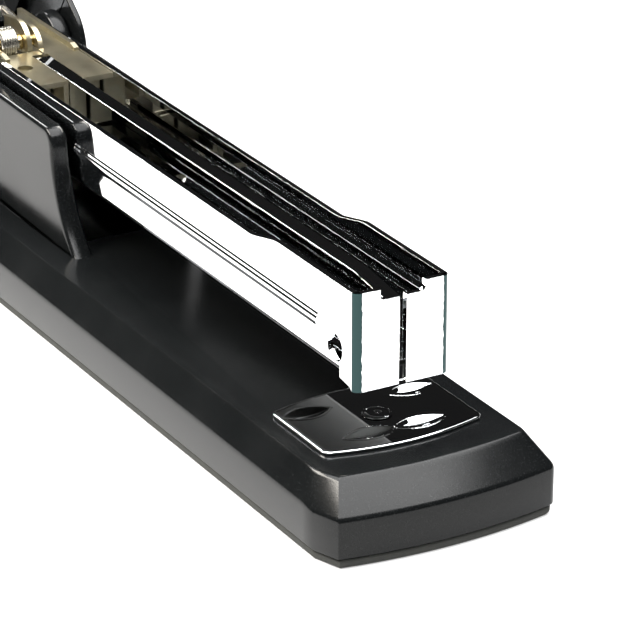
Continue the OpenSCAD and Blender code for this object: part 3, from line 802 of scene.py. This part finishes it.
@dataclass
class AnvilSet:
    """The turning anvil plate with its staple grooves, its stud and the small spring round the stud."""

    length: float = 18.8
    width: float = 24.6
    bow: float = 2.1
    groove_x: float = 4.8
    front_y: float = 3.8
    rear_y: float = 8.1
    front_lens: tuple = (3.9, 1.5)
    rear_lens: tuple = (3.5, 1.55)
    depth: float = 0.44
    lip: float = 0.035
    coil_r: float = 3.5
    coil_turns: float = 3.5
    wire: float = 0.22

    def outline(self, count: int = 520) -> Array:
        """Outline about the stud: bowed long sides, rounded corners; sampled by equal steps."""
        half, corner = self.width / 2, 1.5
        r = (half**2 + self.bow**2) / (2 * self.bow)
        y = np.linspace(-half + corner, half - corner, 80)
        x = self.length / 2 - r + np.sqrt(r**2 - y**2)
        x0 = x[-1] - corner
        bow = np.stack([x, y], -1)
        turn = arc(x0, half - corner, corner, 0, 90, 14)
        flat = np.stack([np.linspace(x0, -x0, 30), np.full(30, half)], -1)[1:-1]
        turned_back = arc(-x0, half - corner, corner, 90, 180, 14)
        upper = np.concatenate([bow[40:], turn, flat, turned_back, np.stack([-x, -y], -1)[:40]])
        loop = np.concatenate([upper, -upper])
        return resampled(np.concatenate([loop, loop[:1]]), count + 1)[:-1]

    @staticmethod
    def lens(x: Array, y: Array, long: float, wide: float) -> Array:
        """Depth share of a lens-shaped groove: full in the middle, its width shrinking to points."""
        along = np.clip(1 - (y / long) ** 2, 0, 1)
        share = np.abs(x / (wide * along + 1e-6))
        across = np.clip(1 - (np.hypot(share, 0.14) - 0.14) / (math.hypot(1, 0.14) - 0.14), 0, 1)
        return along * across

    def relief(self, x: Array, y: Array) -> Array:
        """Height of the plate's face above its flat: sunken lenses with faint raised lips and a rim."""
        height = np.zeros_like(x)
        for along, away, (long, wide) in (
            (1, self.front_y, self.front_lens), (-1, self.rear_y, self.rear_lens)
        ):
            for side in (-1, 1):
                dx, dy = x - along * self.groove_x, y - side * away
                sunk = self.lens(dx, dy, long, wide)
                around = self.lens(dx, dy, long * 1.12, wide * 1.3)
                height -= self.depth * sunk
                height += self.lip * (around > 0) * (sunk <= 0)
        return height

    def plate(self, top: float, bottom: float, x0: float) -> tuple[Array, list]:
        """Plate as one closed skin: rings shrink from the rim to the stud, and height follows the relief."""
        outline = self.outline()
        shares = np.linspace(0.10, 1.0, 112)
        rings = []
        for share in shares:
            flat = outline * (1 - 0.55 / 12 * share) * share
            rings.append(np.column_stack([flat, top - 0.06 + self.relief(flat[:, 0], flat[:, 1])]))
        for margin, drop in ((0.42, 0.02), (0.30, 0.0), (0.15, 0.02), (0.04, 0.08), (0.0, 0.18)):
            rings.append(np.column_stack([inset(outline, margin), np.full(len(outline), top - drop)]))
        rings.append(np.column_stack([inset(outline, 0.0), np.full(len(outline), bottom + 0.12)]))
        rings.append(np.column_stack([inset(outline, 0.12), np.full(len(outline), bottom)]))
        rings.append(np.column_stack([outline * 0.10, np.full(len(outline), bottom)]))
        stack = np.stack(rings)
        stack[..., 0] += x0
        return loft(stack, closed=True)

    def stud(self, low: float, high: float, x0: float) -> tuple[Array, list]:
        """Stud with a flat rivet head that has a ring groove and a small centre."""
        profile = np.array([
            [0, low], [2.3, low], [2.5, low + 0.2], [2.5, high - 0.85], [1.2, high - 0.85], [1.2, high - 0.16],
            [2.06, high - 0.16], [2.1, high - 0.10], [2.0, high - 0.02], [1.85, high], [1.72, high - 0.05],
            [1.6, high - 0.02], [0.5, high - 0.01], [0.38, high - 0.06], [0.22, high - 0.06], [0.12, high],
            [0, high],
        ])
        points, faces = turned(profile)
        return points + np.array([x0, 0, 0]), faces

    def build(self, shop: Shop) -> None:
        """Makes the plate, the stud, the button and the spring."""
        low, high = (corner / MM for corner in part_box("anvil_plate"))
        stud_low, stud_high = (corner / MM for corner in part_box("anvil_stud"))
        x0 = (low.x + high.x) / 2
        shop.make("anvil_dished", self.plate(high.z, low.z, x0), Body.ANVIL, Slot.CHROME, ["anvil_plate"], 40)
        rivet = self.stud(stud_low.z, stud_high.z, x0)
        shop.make("anvil_rivet", rivet, Body.LIFTER, Slot.CHROME, ["anvil_stud"])
        shop.eased("anvil_button", Body.LIFTER, Slot.PLASTIC, 0.3)
        spring_low, spring_high = (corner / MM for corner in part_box("anvil_spring"))
        z = np.linspace(spring_low.z + 0.25, spring_high.z - 0.25, 240)
        t = np.linspace(0, 2 * math.pi * self.coil_turns, len(z))
        path = np.stack([x0 + self.coil_r * np.cos(t), self.coil_r * np.sin(t), z], -1)
        shop.make("anvil_coil", tube(path, self.wire), Body.BASE, Slot.SPRING, ["anvil_spring"])


@dataclass
class Magazine:
    """Chromed channel and rail with the passivated bracket, its pin, and the springs round it."""

    coil_r: float = 2.6
    coil_wire: float = 0.23
    coil_turns: float = 6.1
    coil_leg: float = 8.6
    feed_wire: float = 0.12
    feed_turns: int = 150

    def springs(self, shop: Shop) -> None:
        """Winds the guide's coil, and the feed spring inside the rail."""
        low, high = (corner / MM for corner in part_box("cover_spring"))
        x0, z0 = self.axis()
        count = 300
        t = np.linspace(0, 2 * math.pi * self.coil_turns, count)
        y = np.linspace(high.y - 0.25, low.y + 0.25, count)
        path = np.stack([x0 + self.coil_r * np.cos(t), y, z0 + self.coil_r * np.sin(t)], -1)
        last = path[-1] - path[-2]
        leg = path[-1] + np.linspace(0.02, 1, 14)[:, None] * last / np.linalg.norm(last) * self.coil_leg
        wire = tube(np.concatenate([path, leg]), self.coil_wire)
        shop.make("guide_coil", wire, Body.MAGAZINE, Slot.SPRING, ["cover_spring"])
        feed_low, feed_high = (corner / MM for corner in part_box("feed_spring"))
        r = (feed_high.z - feed_low.z) / 2 - self.feed_wire
        z = (feed_high.z + feed_low.z) / 2
        x = np.linspace(feed_low.x, feed_high.x, 3200)
        t = np.linspace(0, 2 * math.pi * self.feed_turns, 3200)
        wound = np.stack([x, r * np.sin(t), z + r * np.cos(t)], -1)
        shop.make("feed_coil", tube(wound, self.feed_wire, 6), Body.MAGAZINE, Slot.SPRING, ["feed_spring"])

    def axis(self) -> tuple[float, float]:
        """Place of the guide pin's axis in X and Z."""
        low, high = (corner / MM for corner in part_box("guide_pin"))
        return (low.x + high.x) / 2, (low.z + high.z) / 2

    def guide_parts(self, shop: Shop) -> None:
        """Turns the guide pin with a domed, drilled end, and the sleeve with its collar."""
        x0, z0 = self.axis()
        pin_low, pin_high = (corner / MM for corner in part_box("guide_pin"))
        sleeve_low, sleeve_high = (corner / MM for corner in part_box("guide_sleeve"))
        a, b = pin_low.y, pin_high.y
        pin = np.array([
            [0, a + 0.35], [0.35, a + 0.3], [0.45, a + 0.02], [0.72, a], [0.86, a + 0.12], [0.9, a + 0.3],
            [0.9, b - 0.3], [0.86, b - 0.1], [0.7, b], [0, b],
        ])
        c, d = sleeve_low.y, sleeve_high.y
        sleeve = np.array([
            [0.92, c], [1.15, c], [1.25, c + 0.1], [1.25, c + 1.9], [1.32, c + 2.0], [1.55, c + 2.05],
            [1.55, c + 2.6], [1.45, c + 2.7], [1.25, c + 2.72], [1.25, d - 0.1], [1.15, d], [0.92, d],
        ])
        for node, profile in (("guide_pin", pin), ("guide_sleeve", sleeve)):
            points, faces = turned(profile, 40)
            placed = np.stack([points[:, 0] + x0, points[:, 2], points[:, 1] + z0], -1)
            shop.make(node + "_turned", (placed, faces), Body.MAGAZINE, Slot.BRASS, [node])

    def build(self, shop: Shop) -> None:
        """Makes the magazine's pieces."""
        for node, slot, ease, steps in (
            ("magazine_channel", Slot.CHROME, 0.16, 3), ("core_rail", Slot.CHROME, 0.42, 4),
            ("rail_bracket", Slot.YELLOW, 0.28, 3), ("bracket_rivets", Slot.YELLOW, 0.15, 2),
            ("spring_post", Slot.STEEL, 0.1, 2),
        ):
            shop.eased(node, Body.MAGAZINE, slot, ease, steps)
        self.guide_parts(shop)
        self.springs(shop)


@dataclass
class Pusher:
    """The sliding pusher, its hook and the thin spring that draws it back."""

    plan: Plan
    coil_r: float = 0.62
    wire: float = 0.15
    turns: int = 72

    def build(self, shop: Shop) -> None:
        """Makes the pusher's pieces."""
        shop.eased("pusher", Body.PUSHER, Slot.YELLOW, 0.2)
        shop.eased("pusher_hook", Body.PUSHER, Slot.STEEL, 0.12)
        low, high = (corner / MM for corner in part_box("retract_spring"))
        y = (low.y + high.y) / 2
        hinge = np.array([self.plan.hinge_x, self.plan.hinge_z])
        knots = np.array([[15.3, 0.9], [5, 1.1], [0.6, 3.6], [-6, 4.6], [-10.6, 2.1]]) + hinge
        flat = resampled(knots, 1500)
        path = np.stack([flat[:, 0], np.full(len(flat), y), flat[:, 1]], -1)
        wound = coil(path, self.coil_r, self.wire, self.turns, 6)
        shop.make("retract_coil", wound, Body.PUSHER, Slot.SPRING, ["retract_spring"])


@dataclass
class Cover:
    """The moulded cover with its liner, driver blade and finger pad, drawn closed and swung open."""

    plan: Plan
    open_angle: float = 143.0
    half: float = 12.25
    wall: float = 1.0
    top: float = 1.7
    ridge: float = 2.6

    def opened(self, points: Array) -> Array:
        """Points drawn closed about the pin, turned to the open place."""
        t = math.radians(self.open_angle)
        x = points[..., 0] * math.cos(t) - points[..., 2] * math.sin(t)
        z = points[..., 0] * math.sin(t) + points[..., 2] * math.cos(t)
        return np.stack([x + self.plan.hinge_x, points[..., 1], z + self.plan.hinge_z], -1)

    def profile(self, shrink: float) -> tuple[Array, Array]:
        """Top path and bottom path of the cover's side, moved in by `shrink` at the top and nose.

        The top is an arc of a large circle that ends in the nose's quarter circle and runs down the
        front; the bottom is the skirt line. Both have the same number of points, from rear to front.
        """
        front, rise, nose = 131.5, 12.9, 5.0
        span = (front - nose - 3) / 2
        middle = (front - nose + 3) / 2
        r = (span**2 + 2.4**2) / (2 * 2.4)
        centre = rise + 2.4 - r
        x = np.linspace(3, front - nose, 64)
        crown = np.stack([x, centre + np.sqrt((r - shrink) ** 2 - (x - middle) ** 2)], -1)
        nose_arc = arc(front - nose, rise - nose, nose - shrink, 88, 0, 14)
        drop = np.array([[front - shrink, z] for z in np.linspace(rise - nose - 1, -1.5, 12)])
        last = np.array([[front - shrink - 0.6, -2.6], [front - shrink - 1.6, -3.5]])
        top = np.concatenate([crown, nose_arc, drop, last])
        x = np.linspace(3, front - shrink - 1.7, len(top))
        bottom = np.interp(x, [3, 50, front - 9, front - 1.8, front], [-7.6, -7.1, -4.2, -3.6, -3.4])
        return top, np.stack([x, bottom], -1)

    def section(self, half: float, shrink: float, ridge: float) -> Array:
        """Outer or inner skin as stations by points: up one side, round the ridge, across and down."""
        top, bottom = self.profile(shrink)
        span = np.linalg.norm(top - bottom, axis=1)
        r = np.minimum(ridge, span * 0.45)
        t = np.linspace(0, math.pi / 2, 8)
        rise = np.linspace(0, 1, 6)[None, :-1] * (span - r)[:, None]
        side_y = np.full_like(rise, -half)
        turn_h = (span - r)[:, None] + r[:, None] * np.sin(t)
        turn_y = -half + r[:, None] * (1 - np.cos(t))
        left_h = np.concatenate([rise, turn_h], 1)
        left_y = np.concatenate([side_y, turn_y], 1)
        h = np.concatenate([left_h, left_h[:, ::-1]], 1)
        y = np.concatenate([left_y, -left_y[:, ::-1]], 1)
        unit = (top - bottom) / span[:, None]
        x = bottom[:, :1] + unit[:, :1] * h
        z = bottom[:, 1:] + unit[:, 1:] * h
        return np.stack([x, y, z], -1)

    def shell(self) -> tuple[Array, list]:
        """Hollow cover: outer skin, inner skin and a strip between them along every rim."""
        outer = self.section(self.half, 0.0, self.ridge)
        inner = self.section(self.half - self.wall, self.top, self.ridge - self.wall)[:, ::-1]
        ring = np.concatenate([outer, inner], 1)
        count, around = ring.shape[:2]
        faces = grid_faces(count, around, True)
        half = around // 2
        k = np.arange(half - 1)
        for base in (0, (count - 1) * around):
            end = base + around - 1
            faces += np.stack([base + k, base + k + 1, end - 1 - k, end - k], -1).tolist()
        return self.opened(ring).reshape(-1, 3), faces

    def ear(self, side: int) -> tuple[Array, list]:
        """Rounded ear round the pin, running into the shell."""
        front = np.array([[3.6, -7.55], [3.6, 12.7], [2.9, 12.75]])
        outline = np.concatenate([arc(0, 0, 7.6, 110, 270, 30), front])
        rings = slab(spaced(outline, 1.5), self.half - self.wall, self.half, 0.3)
        flat = np.stack([rings[..., 0], side * rings[..., 2], rings[..., 1]], -1)
        return loft(self.opened(flat))

    def pad(self) -> tuple[Array, list]:
        """Finger pad: a grid over the crown with shallow cross ribs, thinning to nothing at its rim."""
        top, _ = self.profile(0.0)
        x = np.linspace(92, 125, 133)
        z = np.interp(x, top[:64, 0], top[:64, 1])
        v = np.linspace(-1, 1, 41)
        inside = np.minimum(np.clip((x - 92) / 1.2, 0, 1), np.clip((125 - x) / 1.2, 0, 1))[:, None] * np.clip(
            (1 - np.abs(v)) / 0.13, 0, 1)[None, :]
        lift = 0.72 * np.sqrt(1 - (1 - inside) ** 2) - 0.18 * inside * (0.5 + 0.5 * np.cos(x * 2.4))[:, None]
        upper = np.stack([x[:, None] + 0 * v, 8.75 * v + 0 * x[:, None], z[:, None] + lift], -1)
        lower = upper.copy()
        lower[..., 2] = z[:, None] - 0.3
        ring = np.concatenate([upper, lower[:, ::-1]], 1)
        return loft(self.opened(ring))

    def build(self, shop: Shop) -> None:
        """Makes the cover's pieces."""
        shop.make("cover_moulding", joined([self.shell(), self.ear(1), self.ear(-1)]), Body.COVER, Slot.PLASTIC,
                  ["cover_shell"], 38)
        shop.make("finger_grip", self.pad(), Body.COVER, Slot.RUBBER, ["finger_pad"], 40)
        for node, slot, ease in (
            ("cover_liner", Slot.PLASTIC, 0.22), ("liner_screws", Slot.STEEL, 0.3),
            ("driver_blade", Slot.SPRING, 0.1), ("driver_rivets", Slot.STEEL, 0.2),
            ("hold_down_spring", Slot.SPRING, 0.08), ("hold_down_rivet", Slot.STEEL, 0.2),
            ("spring_anchor", Slot.ZINC, 0.12),
        ):
            shop.eased(node, Body.COVER, slot, ease)


# ---------------------------------------------------------------- studio


@dataclass(frozen=True)
class Softbox:
    """A rectangular studio light aimed at the stapler."""

    name: str
    place: tuple
    aim: tuple
    wide: float
    tall: float
    watts: float
    tint: tuple = (1.0, 1.0, 1.0)

    def build(self) -> None:
        """Hangs the light."""
        lamp = bpy.data.lights.new(self.name, "AREA")
        lamp.shape = "RECTANGLE"
        lamp.size, lamp.size_y, lamp.energy, lamp.color = self.wide, self.tall, self.watts, self.tint
        holder = bpy.data.objects.new(self.name, lamp)
        bpy.context.scene.collection.objects.link(holder)
        holder.location = self.place
        holder.rotation_euler = (Vector(self.aim) - Vector(self.place)).to_track_quat("-Z", "Y").to_euler()


@dataclass(frozen=True)
class Studio:
    """Pale lit floor, soft light and the camera."""

    eye: tuple = (0.443078, -0.223801, 0.216363)
    aim: tuple = (0.031438, 0.008651, 0.012)
    lens: float = 202.8
    world: float = 0.012
    boxes: tuple = (
        Softbox("sky_box", (0.16, 0.0, 0.95), (0.16, 0.0, 0.0), 1.1, 1.3, 44.0),
        Softbox("side_box", (-0.12, -0.25, 0.29), (-0.08, -0.06, 0.0), 0.30, 0.10, 3.4, (1.0, 0.95, 0.87)),
        Softbox("glint_strip", (-0.59, 0.58, 0.95), (0.0, 0.1, 0.0), 0.40, 0.36, 2.4),
        Softbox("rear_strip", (-0.95, -0.07, 0.68), (0.0, 0.0, 0.03), 0.20, 0.34, 6.0),
    )

    def build(self) -> None:
        """Makes floor, lights, world, camera and a plain tone curve."""
        steps = np.linspace(-3, 3, 13)
        x, y = np.meshgrid(steps, steps, indexing="ij")
        mesh = bpy.data.meshes.new("studio_floor")
        mesh.from_pydata(np.stack([x, y, 0 * x], -1).reshape(-1, 3).tolist(), [], grid_faces(13, 13, False))
        if mesh.polygons[0].normal.z < 0:
            mesh.flip_normals()
        mesh.materials.append(StudioPaper().build("studio_paper"))
        floor = bpy.data.objects.new("studio_floor", mesh)
        bpy.context.scene.collection.objects.link(floor)
        for box in self.boxes:
            box.build()
        world = bpy.data.worlds.new("studio_air")
        world.use_nodes = True
        world.node_tree.nodes["Background"].inputs["Color"].default_value = (1, 1, 1, 1)
        world.node_tree.nodes["Background"].inputs["Strength"].default_value = self.world
        bpy.context.scene.world = world
        camera = bpy.data.objects.new("camera", bpy.data.cameras.new("camera"))
        camera.data.lens, camera.data.sensor_width = self.lens, 36.0
        camera.data.clip_start, camera.data.clip_end = 0.01, 20.0
        camera.location = self.eye
        camera.rotation_euler = (Vector(self.aim) - Vector(self.eye)).to_track_quat("-Z", "Y").to_euler()
        bpy.context.scene.collection.objects.link(camera)
        bpy.context.scene.camera = camera
        bpy.context.scene.view_settings.view_transform = "Standard"


def corners(pair: tuple) -> list:
    """A box as plain lists."""
    return [list(map(float, corner)) for corner in pair]


def main() -> None:
    """Builds the stapler piece by piece, then the studio."""
    logging.basicConfig(level=logging.INFO, format="%(name)s: %(message)s")
    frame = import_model()
    shop = Shop(frame)
    shop.dress_nodes()
    plan = Plan.measured()
    for assembly in (BaseBody(plan), AnvilSet(), Magazine(), Pusher(plan), Cover(plan)):
        assembly.build(shop)
    Studio().build()


if __name__ == "__main__":
    main()
